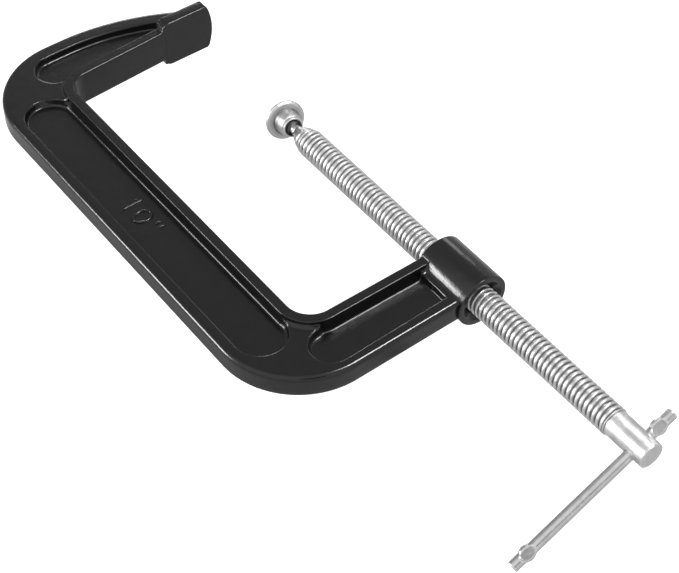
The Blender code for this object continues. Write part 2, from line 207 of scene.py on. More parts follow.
def from_back(x, y):
    """Distance into the metal from the outside: arcs at the corners and the back, lines between."""
    (lx, ly), lr = LOWER_OUTER
    (ux, uy), ur = UPPER_OUTER
    (bx, by), br = BACK_CURVE
    (nx, ny), nr = NOSE
    (ax0, ay0), (ax1, ay1) = ARM_OUTER_LINE
    (sx0, sy0), (sx1, sy1) = SPINE_OUTER_LINE
    arm = ax0 + (ax1 - ax0) * (y - ay0) / (ay1 - ay0) - x
    spine = y - (sy0 + (sy1 - sy0) * (x - sx0) / (sx1 - sx0))
    back = np.where(y < by, x - (bx - br), br - np.hypot(x - bx, y - by))
    nose = np.where(x > nx, nr - (y - ny), nr - np.hypot(x - nx, y - ny))
    back = np.where(y > ny, nose, back)
    d = np.where(x > 150.0, arm, back)
    d = np.where((x > ux) & (x < lx) & (y < -60.0), spine, d)
    d = np.where((x >= lx) & (y < ly), lr - np.hypot(x - lx, y - ly), d)
    return np.where((x <= ux) & (y < uy), ur - np.hypot(x - ux, y - uy), d)


def into_recess(x, y, upper_side, back):
    """Distance in from the nearest recess's outline, negative outside all three.  Along the flange the
    outline runs in under it, so the distance grows there by UNDER_FLANGE away from the round ends."""
    (s0, s1), sy, sr = SPINE_RECESS
    spine = sr - np.hypot(x - np.clip(x, s0, s1), y - sy)
    spine = spine + UNDER_FLANGE * ease(np.minimum(x - s0, s1 - x) / UNDER_FLANGE_EASE) * (y > sy)
    x0, x1, x2 = ARM_RECESS_X
    low, high = ARM_RECESS_Y
    right = x1 + (x2 - x1) * (y - low) / (high - low)
    middle, half = (x0 + x1) / 2, (x1 - x0) / 2
    left = x - x0 + UNDER_FLANGE * ease((y - low) / UNDER_FLANGE_EASE)
    straight = np.minimum(np.minimum(left, right - x), high - y)
    arm = np.where(y > low, straight, half - np.hypot(x - middle, y - low))
    (ex, ey), er = UPPER_RECESS_END
    inner = upper_side - (FLANGE_WIDTH - 0.6) + UNDER_FLANGE * ease((y - ey) / UNDER_FLANGE_EASE)
    taper = np.minimum(back - UPPER_RIM_WIDTH, inner)
    upper = np.where(y > ey, taper, er - np.hypot(x - ex, y - ey))
    arm = np.where(x > 200.0, arm, -FAR)
    upper = np.where(x < 60.0, upper, -FAR)
    return np.maximum(np.maximum(spine, arm), upper)


def casting_height(x, y):
    """Half thickness of the casting at (x, y): the rim's level, less each recess with its rounded lip
    and foot, then the flange's leaning wall with a fillet at its foot, then fillets to boss and anvil."""
    throat, upper_side = from_throat(x, y)
    back = from_back(x, y)
    recess = into_recess(x, y, upper_side, back)
    lip, foot = RECESS_LIP, RECESS_FOOT
    depth = RIM_TOP - FLOOR_TOP
    wall = WALL_LEAN * (depth - lip - foot)
    drop = lip * quarter((recess + lip * 0.5) / lip)
    drop = np.where(recess > lip * 0.5, lip + (recess - lip * 0.5) / WALL_LEAN, drop)
    rise = foot * quarter(1.0 - (recess - lip * 0.5 - wall) / foot)
    rise = np.where(recess < lip * 0.5 + wall, depth, rise)
    level = FLOOR_TOP + np.clip(depth - drop, 0.0, depth)
    level = np.where(recess > lip * 0.5, np.maximum(level, FLOOR_TOP + np.minimum(rise, depth - lip)), level)

    fillet = 1.0 + 2.2 * ease((level - FLOOR_TOP) / depth)
    edge = WALL_EDGE
    past = throat - FLANGE_WIDTH
    top = FLANGE_TOP - edge * quarter((past + edge) / edge)
    straight = np.maximum(FLANGE_TOP - edge - level - fillet, 0.0)
    side = FLANGE_TOP - edge - past / WALL_LEAN
    start = WALL_LEAN * straight
    curve = level + np.minimum(fillet, FLANGE_TOP - edge - level) * quarter(1.0 - (past - start) / fillet)
    flange = np.where(past < 0.0, top, np.where(past < start, side, curve))
    height = np.maximum(level, flange)

    boss = np.sqrt(np.maximum(BOSS_RADIUS ** 2 - y ** 2, 0.0)) - BOSS_SINK
    boss = np.where((x > 200.0) & (y > -BOSS_RADIUS), boss, -FAR)
    near = np.where(x > 200.0, np.clip((y + 30.0) / 10.0, 0.0, 1.0), 0.0)
    height = np.where(near > 0.0, soft_max(height, boss, BOSS_FILLET * near), height)

    off = np.hypot(np.maximum(ANVIL_BACK[0] - x, 0.0), np.maximum(ANVIL_BACK[1] - y, 0.0))
    ramp = np.where(x < 100.0, ANVIL_RAMP_TOP - off * ANVIL_RAMP_SLOPE, -FAR)
    limit = np.where(x < 100.0, ANVIL_RAMP_LIMIT, FAR)
    return np.minimum(soft_max(height, ramp, ANVIL_RAMP_FILLET), limit)


def arc_points(circle, start, end, fractions):
    """Points on a circle and the directions from them to its centre."""
    (cx, cy), radius = circle
    angle = radians(start) + (radians(end) - radians(start)) * fractions
    unit = np.stack([np.cos(angle), np.sin(angle)], axis=-1)
    return np.array([cx, cy]) + radius * unit, -unit


def line_points(start, end, fractions):
    return np.array(start) + (np.array(end) - np.array(start)) * fractions[:, None]


def spread(*stops):
    """Fractions from 0 to 1 with each stretch (end, pieces) cut into equal pieces."""
    values, last = [np.zeros(1)], 0.0
    for end, pieces in stops:
        values.append(np.linspace(last, end, pieces + 1)[1:])
        last = end
    return np.concatenate(values)


def casting_lines():
    """The throat's and the outside's points, station by station from the boss round to the nose, with
    the direction into the metal at each."""
    inner, inner_in, outer, outer_in = [], [], [], []

    def add(i, i_in, o, o_in):
        skip = 1 if inner else 0
        for store, values, like in ((inner, i, i), (inner_in, i_in, i), (outer, o, o), (outer_in, o_in, o)):
            store.append(np.broadcast_to(values, like.shape)[skip:])

    (ux, uy), ur = UPPER_INNER
    lean_in = np.array([-np.cos(ARM_LEAN), -np.sin(ARM_LEAN)])
    f = spread((0.06, 4), (0.22, 22), (0.86, 12), (1.0, 10))
    o = line_points((ARM_OUTER_LINE[0][0], ARM_END_Y), ARM_OUTER_LINE[1], f)
    i = line_points((ARM_INNER_X, ARM_END_Y), (ARM_INNER_X, LOWER_INNER[0][1]), f)
    add(i, (1.0, 0.0), o, (-1.0, 0.0))
    f = spread((1.0, 96))
    i, i_in = arc_points(LOWER_INNER, 0.0, -90.0, f)
    o, o_in = arc_points(LOWER_OUTER, 0.0, -90.0, f)
    add(i, -i_in, o, o_in)
    f = spread((0.04, 8), (0.95, 56), (1.0, 14))
    o = line_points(*SPINE_OUTER_LINE, f)
    add(line_points((LOWER_INNER[0][0], THROAT_Y), (ux, THROAT_Y), f), (0.0, -1.0), o, (0.0, 1.0))
    f = spread((1.0, 104))
    i, i_in = arc_points(UPPER_INNER, -90.0, np.degrees(ARM_LEAN) - 180.0, f)
    o, o_in = arc_points(UPPER_OUTER, -90.0, -180.0, f)
    add(i, -i_in, o, o_in)

    start = np.array([ux, uy]) + lean_in * ur
    reach = 93.5
    f = spread((0.14, 12), (0.68, 26), (0.9, 34), (1.0, 8))
    up = np.array([-np.sin(ARM_LEAN), np.cos(ARM_LEAN)])
    i = start + up * (reach * f)[:, None]
    (bx, by), br = BACK_CURVE
    (nx, ny), nr = NOSE
    nose_y = by + (ny - by) * br / (br - nr)
    oy = -92.0 + (nose_y + 92.0) * f
    rise = np.maximum(oy - by, 0.0)
    ox = bx - np.sqrt(br * br - rise * rise)
    o = np.stack([ox, oy], axis=-1)
    toward = np.array([bx, by]) - o
    toward = np.where(oy[:, None] > by, toward, np.array([1.0, 0.0]))
    add(i, lean_in, o, toward / np.linalg.norm(toward, axis=1, keepdims=True))
    f = spread((1.0, 16))
    angle = np.degrees(np.arctan2(ny - by, nx - bx))
    o, o_in = arc_points(NOSE, angle, 90.0, f)
    i = line_points(i[-1], (-3.0, 8.0), f)
    add(i, (-1.0, -0.1), o, o_in)
    f = spread((1.0, 4))
    o = line_points(o[-1], (-6.5, ny + nr), f)
    add(line_points(i[-1], (-3.0, 8.6), f), (-1.0, -0.1), o, (0.0, -1.0))
    return [np.concatenate(values) for values in (inner, inner_in, outer, outer_in)]


def casting_surface():
    """A ring of points at each station: up the throat's wall, round the flange's edge, across the top
    at the height that casting_height gives, round the rim's edge, down the outside, and mirrored."""
    inner, inner_in, outer, outer_in = casting_lines()
    width = np.linalg.norm(outer - inner, axis=1)
    stations = len(width)
    from_inner = np.concatenate([np.linspace(0.9, 5.9, 4), np.linspace(6.1, 8.4, 20),
                                 np.linspace(8.8, 13.0, 9)])
    from_outer = np.concatenate([np.linspace(12.5, 6.4, 14), np.linspace(5.4, RIM_EDGE, 3)])
    squeeze = np.clip(width / (13.0 + 12.5 + 4.0), 0.2, 1.0)[:, None]
    a = inner[:, None] + inner_in[:, None] * (from_inner[None, :] * squeeze)[..., None]
    b = outer[:, None] + outer_in[:, None] * (
        (from_outer[None, :] - RIM_EDGE) * squeeze + RIM_EDGE)[..., None]
    between = np.linspace(0.0, 1.0, 40)[1:-1][None, :, None]
    middle = a[:, -1:] * (1.0 - between) + b[:, :1] * between
    top = np.concatenate([a, middle, b], axis=1)
    height = casting_height(top[..., 0], top[..., 1])
    flat = np.concatenate([top, height[..., None]], axis=2)

    turn = np.linspace(0.0, 1.0, 6)[:-1] * np.pi / 2
    edge_in = FLANGE_EDGE * (1.0 - np.sin(turn))
    edge_down = FLANGE_EDGE * (1.0 - np.cos(turn))
    first = height[:, :1]
    wall_z = np.concatenate([np.zeros((stations, 1)), first * 0.4, first * 0.8], axis=1)
    wall_in = 0.25 * wall_z / FLANGE_TOP
    round_z = first - edge_down[::-1]
    round_in = np.broadcast_to(edge_in[::-1], round_z.shape)
    z = np.concatenate([wall_z, round_z], axis=1)
    into = np.concatenate([wall_in, np.maximum(round_in, 0.0)], axis=1)
    into[:, :3] = np.minimum(into[:, :3], round_in[:, :1])
    throat = np.concatenate([inner[:, None] + inner_in[:, None] * into[..., None], z[..., None]], axis=2)

    turn = np.linspace(0.0, 1.0, 9)[1:] * np.pi / 2
    last = height[:, -1:]
    round_z = last - RIM_EDGE * (1.0 - np.cos(turn))
    round_in = np.broadcast_to(RIM_EDGE * (1.0 - np.sin(turn)), round_z.shape)
    wall_z = (last - RIM_EDGE) * np.array([[0.5, 0.0]])
    z = np.concatenate([round_z, wall_z], axis=1)
    into = np.concatenate([round_in, np.zeros_like(wall_z)], axis=1)
    outside = np.concatenate([outer[:, None] + outer_in[:, None] * into[..., None], z[..., None]], axis=2)

    half = np.concatenate([throat, flat, outside], axis=1)
    under = half[:, -2:0:-1] * np.array([1.0, 1.0, -1.0])
    ring = np.concatenate([half, under], axis=1)
    count = ring.shape[1]
    faces = grid_faces(stations, count, wrap_columns=True)
    n = half.shape[1]
    k = np.arange(n - 1)
    opposite = (count - np.arange(n)) % count
    opposite[-1] = n - 1
    cap = np.stack([k, k + 1, opposite[k + 1], opposite[k]], axis=-1)
    return weld(ring, np.concatenate([faces, cap, cap[:, ::-1] + (stations - 1) * count]))


def maths(tree, kind, a, b, clamp=False):
    node = tree.nodes.new("ShaderNodeMath")
    node.operation = kind
    node.use_clamp = clamp
    for socket, value in zip(node.inputs, (a, b)):
        if isinstance(value, (int, float)):
            socket.default_value = value
        else:
            tree.links.new(value, socket)
    return node.outputs[0]


def new_group(name, inputs, outputs):
    """An empty shader node group with float inputs and outputs of the types named."""
    tree = bpy.data.node_groups.new(name, "ShaderNodeTree")
    for label, value in inputs:
        tree.interface.new_socket(label, in_out="INPUT", socket_type="NodeSocketFloat").default_value = value
    for label, kind in outputs:
        tree.interface.new_socket(label, in_out="OUTPUT", socket_type=kind)
    return tree, tree.nodes.new("NodeGroupInput").outputs, tree.nodes.new("NodeGroupOutput").inputs


def skin_group():
    """Surface skin: coarse swells, a finer peel and fine grit added as a height, with a mask of the
    coarse swells for colour and roughness. Scales are in features per metre."""
    tree, given, result = new_group(
        "surface_skin",
        [("Swell Scale", 90.0), ("Peel Scale", 900.0), ("Grit Scale", 3200.0),
         ("Swell", 0.3), ("Peel", 0.5), ("Grit", 0.2)],
        [("Height", "NodeSocketFloat"), ("Mottle", "NodeSocketFloat"), ("Grit", "NodeSocketFloat")])
    place = tree.nodes.new("ShaderNodeTexCoord").outputs["Object"]
    layers = []
    for label, detail in (("Swell", 3.0), ("Peel", 2.0), ("Grit", 3.0)):
        texture = tree.nodes.new("ShaderNodeTexNoise")
        texture.inputs["Detail"].default_value = detail
        tree.links.new(place, texture.inputs["Vector"])
        tree.links.new(given[label + " Scale"], texture.inputs["Scale"])
        layers.append(texture.outputs["Fac"])
    parts = [maths(tree, "MULTIPLY", layer, given[label])
             for layer, label in zip(layers, ("Swell", "Peel", "Grit"))]
    height = maths(tree, "ADD", maths(tree, "ADD", parts[0], parts[1]), parts[2])
    tree.links.new(height, result["Height"])
    tree.links.new(layers[0], result["Mottle"])
    tree.links.new(layers[2], result["Grit"])
    return tree


def edge_group():
    """Edge wear and painted light: the piece's own edge attribute between Low and High, broken up by noise,
    as a mask of outer edges, which the materials lighten as rubbed wear and as a painted highlight; and
    the same for hollows, which the coat lightens with dust and the zinc darkens as painted shade."""
    tree, given, result = new_group(
        "edge_wear_and_painted_light",
        [("Low", 0.15), ("High", 0.8), ("Breakup Scale", 600.0), ("Breakup", 0.5)],
        [("Edge", "NodeSocketFloat"), ("Hollow", "NodeSocketFloat")])
    attribute = tree.nodes.new("ShaderNodeAttribute")
    attribute.attribute_name = "edge"
    texture = tree.nodes.new("ShaderNodeTexNoise")
    texture.inputs["Detail"].default_value = 4.0
    tree.links.new(tree.nodes.new("ShaderNodeTexCoord").outputs["Object"], texture.inputs["Vector"])
    tree.links.new(given["Breakup Scale"], texture.inputs["Scale"])
    loss = maths(tree, "MULTIPLY", maths(tree, "SUBTRACT", texture.outputs["Fac"], 0.5), given["Breakup"])
    width = maths(tree, "SUBTRACT", given["High"], given["Low"])
    for sign, label in ((1.0, "Edge"), (-1.0, "Hollow")):
        bend = maths(tree, "MULTIPLY", attribute.outputs["Fac"], sign)
        level = maths(tree, "DIVIDE", maths(tree, "SUBTRACT", bend, given["Low"]), width)
        tree.links.new(maths(tree, "ADD", level, loss, clamp=True), result[label])
    return tree


skin = skin_group()
wear_and_painted_light = edge_group()


def finish_nodes(name, colour, metallic, roughness, skin_values, wear_and_painted_light_values, bump):
    """A material with a Principled shader, a skin group and a group of edge wear and painted light, placed
    with their values.
    """
    made = bpy.data.materials.new(name)
    made.use_nodes = True
    tree = made.node_tree
    shader = tree.nodes["Principled BSDF"]
    shader.inputs["Base Color"].default_value = (*colour, 1.0)
    shader.inputs["Metallic"].default_value = metallic
    shader.inputs["Roughness"].default_value = roughness
    surface = tree.nodes.new("ShaderNodeGroup")
    surface.node_tree = skin
    for label, value in skin_values.items():
        surface.inputs[label].default_value = value
    edges = tree.nodes.new("ShaderNodeGroup")
    edges.node_tree = wear_and_painted_light
    for label, value in wear_and_painted_light_values.items():
        edges.inputs[label].default_value = value
    relief = tree.nodes.new("ShaderNodeBump")
    relief.inputs["Strength"].default_value = 1.0
    relief.inputs["Distance"].default_value = bump * MM
    tree.links.new(surface.outputs["Height"], relief.inputs["Height"])
    tree.links.new(relief.outputs["Normal"], shader.inputs["Normal"])
    return made, tree, shader, surface, edges


def blend_colour(tree, mask, first, second):
    """A colour between two, by a mask. Each may be a colour or another node's output."""
    node = tree.nodes.new("ShaderNodeMix")
    node.data_type = "RGBA"
    tree.links.new(mask, node.inputs["Factor"])
    for socket, value in ((node.inputs[6], first), (node.inputs[7], second)):
        if isinstance(value, tuple):
            socket.default_value = (*value, 1.0)
        else:
            tree.links.new(value, socket)
    return node.outputs[2]


def between(tree, mask, low, high):
    """A number from low to high, by a mask."""
    return maths(tree, "ADD", maths(tree, "MULTIPLY", mask, high - low), low)


def powder_coat():
    """Baked black powder: nearly black with a faint peel, lighter with dust in hollows, and greyer and
    smoother along outer edges, which is partly rubbed coat and partly a painted highlight.
    """
    made, tree, shader, surface, edges = finish_nodes(
        "black_powder_coat", (0.003, 0.003, 0.003), 0.0, 0.2,
        {"Swell Scale": 130.0, "Peel Scale": 700.0, "Grit Scale": 3600.0,
         "Swell": 0.8, "Peel": 0.2, "Grit": 0.08},
        {"Low": 0.2, "High": 1.1, "Breakup Scale": 900.0, "Breakup": 0.7}, 0.22)
    deep, worn = (0.0018, 0.0018, 0.0019), (0.0048, 0.0048, 0.0050)
    mottled = blend_colour(tree, surface.outputs["Mottle"], deep, worn)
    dusty = blend_colour(tree, maths(tree, "MULTIPLY", edges.outputs["Hollow"], 0.25), mottled,
                         (0.012, 0.012, 0.012))
    # Outer edges greyed: partly rubbed coat, partly a painted highlight.
    colour = blend_colour(tree, maths(tree, "MULTIPLY", edges.outputs["Edge"], 0.35), dusty,
                          (0.05, 0.05, 0.052))
    tree.links.new(colour, shader.inputs["Base Color"])
    grain = between(tree, surface.outputs["Grit"], 0.12, 0.26)
    tree.links.new(maths(tree, "SUBTRACT", grain, maths(tree, "MULTIPLY", edges.outputs["Edge"], 0.08)),
                   shader.inputs["Roughness"])
    shader.inputs["Specular IOR Level"].default_value = 0.5
    return made


coat = powder_coat()
points, faces = casting_surface()
piece("frame_casting", points, faces, "frame", "clamp_frame", "frame_powder_coat", coat)

# ---------------------------------------------------------------------------------------------------
# The boss.  The thick round end of the lower arm, cast in one with the frame, then drilled right
# through for the screw, threaded, and countersunk on the handle's side.
# ---------------------------------------------------------------------------------------------------

BOSS_ENDS = (270.6, 313.9)
BOSS_EDGE = 0.7
BORE_RADIUS = 9.825
SINK_RADIUS = 14.4
SINK_DEPTH = 4.6
BORE_CHAMFER = 1.2
ROUND_STEPS = 96


def rounded(corners, steps=6, closed=False):
    """An outline through corners (a, b, radius). Each corner becomes an arc that touches both its
    sides: evenly turned from the one touching point to the other about the arc's centre."""
    spots = np.array([corner[:2] for corner in corners], float)
    parts = []
    for i, (_, _, radius) in enumerate(corners):
        if radius <= 0.0 or not (closed or 0 < i < len(corners) - 1):
            parts.append(spots[i:i + 1])
            continue
        before = spots[i - 1] - spots[i]
        after = spots[(i + 1) % len(corners)] - spots[i]
        before /= np.linalg.norm(before)
        after /= np.linalg.norm(after)
        half = np.arccos(np.clip(before @ after, -1.0, 1.0)) / 2
        centre = spots[i] + (before + after) / np.linalg.norm(before + after) * radius / np.sin(half)
        first = spots[i] + before * radius / np.tan(half) - centre
        second = spots[i] + after * radius / np.tan(half) - centre
        sweep = np.pi - 2 * half
        f = np.linspace(0.0, 1.0, steps + 1)[:, None]
        parts.append(centre + (np.sin((1 - f) * sweep) * first + np.sin(f * sweep) * second) / np.sin(sweep))
    return np.concatenate(parts)


def spun(profile, steps=ROUND_STEPS, start=0.0):
    """Rings about +X: (x, r cos a, r sin a) for each profile point (x, r) and each angle a."""
    angle = start + np.linspace(0.0, 2.0 * np.pi, steps, endpoint=False)
    x, r = profile[:, :1], profile[:, 1:]
    return np.stack(np.broadcast_arrays(x, r * np.cos(angle), r * np.sin(angle)), axis=-1)


x0, x1 = BOSS_ENDS
profile = rounded([
    (x0, BORE_RADIUS + BORE_CHAMFER, 0.3), (x0, BOSS_RADIUS, BOSS_EDGE), (x1, BOSS_RADIUS, BOSS_EDGE),
    (x1, SINK_RADIUS, 0.5), (x1 - SINK_DEPTH, BORE_RADIUS, 0.8), (x0 + BORE_CHAMFER, BORE_RADIUS, 0.3),
], closed=True)
faces = grid_faces(len(profile), ROUND_STEPS, wrap_rows=True, wrap_columns=True)
piece("frame_boss", spun(profile), faces, "frame", None, "frame_powder_coat", coat)

# ---------------------------------------------------------------------------------------------------
# The anvil.  The fixed jaw at the end of the upper arm, cast in one with the frame: a flat plate with
# round corners towards the throat and a bowed outer side.  Its face is left as cast and painted.
# ---------------------------------------------------------------------------------------------------

ANVIL_BACK = -9.0
ANVIL_HALF = 17.9
ANVIL_LOW = -22.0
ANVIL_HIGH = 12.9
ANVIL_TOP_Y = 17.3
ANVIL_BOW = 45.1
ANVIL_CORNER = 5.0
ANVIL_EDGE = 1.0


def anvil_surface():
    """Outlines one behind the other: the plate's outline moved inwards, along its own normals, by the
    drop of a quarter circle at both edges, and closed over both faces to their middles."""
    bow = np.linspace(-0.36, 0.36, 33)
    side = [(ANVIL_TOP_Y - ANVIL_BOW * (1.0 - np.cos(a)), ANVIL_BOW * np.sin(a), 0.0) for a in bow]
    outline = rounded([(ANVIL_LOW, -ANVIL_HALF, ANVIL_CORNER), (ANVIL_HIGH, -ANVIL_HALF, 1.6), *side,
                       (ANVIL_HIGH, ANVIL_HALF, 1.6), (ANVIL_LOW, ANVIL_HALF, ANVIL_CORNER)],
                      steps=10, closed=True)
    run = np.roll(outline, -1, axis=0) - np.roll(outline, 1, axis=0)
    run /= np.linalg.norm(run, axis=1, keepdims=True)
    inwards = np.stack([-run[:, 1], run[:, 0]], axis=-1)
    rows = rounded([(ANVIL_BACK, 1.2, 0.0), (ANVIL_BACK, 0.0, ANVIL_EDGE), (0.0, 0.0, ANVIL_EDGE),
                    (0.0, 1.2, 0.0)])
    flat = outline[None] + inwards[None] * rows[:, 1][:, None, None]
    x = np.broadcast_to(rows[:, :1, None], flat.shape[:2] + (1,))
    rings = np.concatenate([x, flat], axis=2)
    middle = rings.mean(axis=1, keepdims=True)
    rings = np.concatenate([np.broadcast_to(middle[:1], rings[:1].shape), rings,
                            np.broadcast_to(middle[-1:], rings[:1].shape)])
    return weld(rings, grid_faces(len(rings), rings.shape[1], wrap_columns=True))


piece("frame_anvil", *anvil_surface(), "frame", None, "frame_powder_coat", coat)

# ---------------------------------------------------------------------------------------------------
# The size mark.  The clamp's opening in inches, raised in the casting on the floor of the spine's
# recess by a mark cut into the mould.
# ---------------------------------------------------------------------------------------------------

MARK_HALF_WIDTH = 1.0
MARK_HEIGHT = 1.0
MARK_SUNK = 0.4
MARK_LOW = -132.2
MARK_HIGH = -118.2
ONE_X = 120.0
NOUGHT = (132.6, -125.2, 4.6, 6.2)
INCH_X = (143.0, 147.2)


def stroke(path, count, closed=False):
    """A half-round ridge along a path: across = w cos a and up = h sin a, and a flat foot sunk in the
    floor. At open ends both shrink as sqrt(1 - (1 - d / w)^2), where d is the distance to the end."""
    path = np.vstack([path, path[:1]]) if closed else np.asarray(path, float)
    lengths = np.concatenate([[0.0], np.cumsum(np.linalg.norm(np.diff(path, axis=0), axis=1))])
    at = np.linspace(0.0, lengths[-1], count + closed)
    line = np.stack([np.interp(at, lengths, path[:, 0]), np.interp(at, lengths, path[:, 1])], axis=-1)
    if closed:
        line = line[:-1]
        run = np.roll(line, -1, axis=0) - np.roll(line, 1, axis=0)
        scale = np.ones(count)
    else:
        run = np.gradient(line, axis=0)
        near = np.clip(np.minimum(at, at[-1] - at) / MARK_HALF_WIDTH, 0.0, 1.0)
        scale = np.sqrt(1.0 - (1.0 - near) ** 2)
    run /= np.linalg.norm(run, axis=1, keepdims=True)
    side = np.stack([run[:, 1], -run[:, 0]], axis=-1)
    a = np.linspace(0.0, np.pi, 9)
    across = np.concatenate([np.cos(a), [-1.0, 1.0]]) * MARK_HALF_WIDTH
    up = np.concatenate([np.sin(a) * MARK_HEIGHT, [-MARK_SUNK, -MARK_SUNK]])
    flat = line[:, None] + side[:, None] * (across[None] * scale[:, None])[..., None]
    z = FLOOR_TOP + up[None] * scale[:, None]
    rings = np.concatenate([flat, z[..., None]], axis=2)
    return weld(rings, grid_faces(len(line), len(across), wrap_rows=closed, wrap_columns=True))


cx, cy, rx, ry = NOUGHT
a = np.linspace(0.0, 2.0 * np.pi, 64, endpoint=False)[:, None]
strokes = [
    stroke([(ONE_X - 3.2, MARK_HIGH - 2.6), (ONE_X, MARK_HIGH), (ONE_X, MARK_LOW)], 60),
    stroke(np.hstack([cx + rx * np.cos(a), cy + ry * np.sin(a)]), 64, closed=True),
    *[stroke([(x, MARK_HIGH), (x - 0.4, MARK_HIGH - 4.2)], 16) for x in INCH_X],
]
starts = np.cumsum([0] + [len(points) for points, _ in strokes])
points = np.concatenate([points for points, _ in strokes])
faces = np.concatenate([faces + start for (_, faces), start in zip(strokes, starts)])
piece("frame_size_mark", points, faces, "frame", None, "frame_powder_coat", coat)

# ---------------------------------------------------------------------------------------------------
# The screw.  A steel bar with a rolled thread, turned down to a neck and a ball that holds the pad,
# with a plain head cross-drilled for the sliding bar.  Bright zinc plate, rougher in the thread, with
# painted shade in its roots.
# ---------------------------------------------------------------------------------------------------

BALL_X = 116.4
BALL_RADIUS = 5.0
NECK_RADIUS = 3.7
NECK_END = 125.2
TAPER_END = 134.8
TAPER_RADIUS = 8.2
THREAD_END = 429.4
MAJOR_RADIUS = 9.525
PITCH = 3.55
THREAD_DEPTH = 1.5
ROWS_PER_PITCH = 14
HEAD_START = 430.6
HEAD_RADIUS = 8.67
HEAD_END = 460.4
HEAD_EDGE = 0.8
BAR_X = 450.3
BAR_TURN = radians(24.3)
HOLE_RADIUS = 4.06
HOLE_EDGE = 0.35
DRILLED = (443.3, 457.3)
SCREW_STEPS = 72


def thread_radius(x, angle):
    """The screw's radius: the crest's envelope, less the thread's depth times 1 - form, where form is
    1 over the crest, 0 over the root and eases between them as x runs one pitch for each turn."""
    grown = ease((x - TAPER_END + 1.0) / 5.5)
    crest = TAPER_RADIUS + (MAJOR_RADIUS - TAPER_RADIUS) * grown
    depth = THREAD_DEPTH * (0.35 + 0.65 * grown) * ease((THREAD_END - x) / 1.2)
    away = 2.0 * np.abs((x / PITCH - angle / (2.0 * np.pi) + 0.5) % 1.0 - 0.5)
    return crest - depth * ease((away - 0.30) / 0.45)


def drilled_half(turn):
    """Half of the head's drilled stretch. Each point of the border of a half cylinder is joined to the
    point of the hole's edge in the same direction from its middle, then runs down the hole's wall to
    the screw's axis; x and the angle go in proportion between the border and the edge."""
    low, high = DRILLED
    half = SCREW_STEPS // 2
    sides = 14
    across = np.linspace(-np.pi / 2, np.pi / 2, half + 1)
    along = np.linspace(low, high, sides + 1)
    border_x = np.concatenate([np.full(half, low), along[:-1], np.full(half, high), along[:0:-1]])
    border_a = np.concatenate([across[:-1], np.full(sides, np.pi / 2), across[:0:-1],
                               np.full(sides, -np.pi / 2)])
    way = np.arctan2(border_a * HEAD_RADIUS, border_x - BAR_X)
    wide = HOLE_RADIUS + HOLE_EDGE
    edge_x = BAR_X + wide * np.cos(way)
    edge_a = np.arcsin(wide * np.sin(way) / HEAD_RADIUS)
    f = np.linspace(0.0, 1.0, 9)[:, None]
    x = border_x + (edge_x - border_x) * f
    a = border_a + (edge_a - border_a) * f
    v, w = HEAD_RADIUS * np.sin(a), HEAD_RADIUS * np.cos(a)
    turn_in = np.linspace(0.0, np.pi / 2, 5)[1:, None]
    radius = HOLE_RADIUS + HOLE_EDGE * (1.0 - np.sin(turn_in))
    round_v = radius * np.sin(way)
    round_w = np.sqrt(HEAD_RADIUS ** 2 - round_v ** 2) - HOLE_EDGE * (1.0 - np.cos(turn_in))
    wall_w = round_w[-1:] * np.array([[0.5], [0.0]])
    x = np.concatenate([x, BAR_X + radius * np.cos(way), np.repeat(BAR_X + radius[-1:] * np.cos(way), 2, 0)])
    v = np.concatenate([v, round_v, np.repeat(round_v[-1:], 2, 0)])
    w = np.concatenate([w, round_w, wall_w])
    c, s = np.cos(turn), np.sin(turn)
    points = np.stack([x, w * c - v * s, w * s + v * c], axis=-1)
    return points, grid_faces(*points.shape[:2], wrap_columns=True)


def screw_surface():
    """Rings from the ball's tip to the drilled stretch, its two halves, and rings on to the end face."""
    b = np.linspace(0.0, np.pi - np.arcsin(NECK_RADIUS / BALL_RADIUS), 25)
    ball = np.stack([BALL_X - BALL_RADIUS * np.cos(b), BALL_RADIUS * np.sin(b)], axis=-1)
    taper = rounded([(BALL_X + BALL_RADIUS, NECK_RADIUS, 0.0), (NECK_END, NECK_RADIUS, 0.8),
                     (126.2, 4.8, 0.8), (132.4, 7.7, 3.0), (TAPER_END - 0.3, TAPER_RADIUS, 0.0)])
    plain = spun(np.concatenate([ball, taper]), SCREW_STEPS, BAR_TURN)
    x = np.arange(TAPER_END, THREAD_END, PITCH / ROWS_PER_PITCH)[:, None]
    angle = BAR_TURN + np.linspace(0.0, 2.0 * np.pi, SCREW_STEPS, endpoint=False)[None]
    r = thread_radius(x, angle)
    thread = np.stack(np.broadcast_arrays(x, r * np.cos(angle), r * np.sin(angle)), axis=-1)
    neck = rounded([(THREAD_END + 0.1, MAJOR_RADIUS, 0.0), (THREAD_END + 0.15, 8.1, 0.0),
                    (HEAD_START - 0.3, 8.1, 0.15), (HEAD_START - 0.2, HEAD_RADIUS, 0.15),
                    (438.0, HEAD_RADIUS, 0.0), (DRILLED[0], HEAD_RADIUS, 0.0)], steps=3)
    before = np.concatenate([plain, thread, spun(neck, SCREW_STEPS, BAR_TURN)])
    end = rounded([(DRILLED[1], HEAD_RADIUS, 0.0), (HEAD_END, HEAD_RADIUS, HEAD_EDGE),
                   (HEAD_END, 3.0, 0.0), (HEAD_END, 0.0, 0.0)])
    after = spun(end, SCREW_STEPS, BAR_TURN)
    parts = [(rings, grid_faces(len(rings), SCREW_STEPS, wrap_columns=True)) for rings in (before, after)]
    parts += [drilled_half(BAR_TURN), drilled_half(BAR_TURN + np.pi)]
    starts = np.cumsum([0] + [rings.shape[0] * rings.shape[1] for rings, _ in parts])
    points = np.concatenate([rings.reshape(-1, 3) for rings, _ in parts])
    return weld(points, np.concatenate([faces + start for (_, faces), start in zip(parts, starts)]))


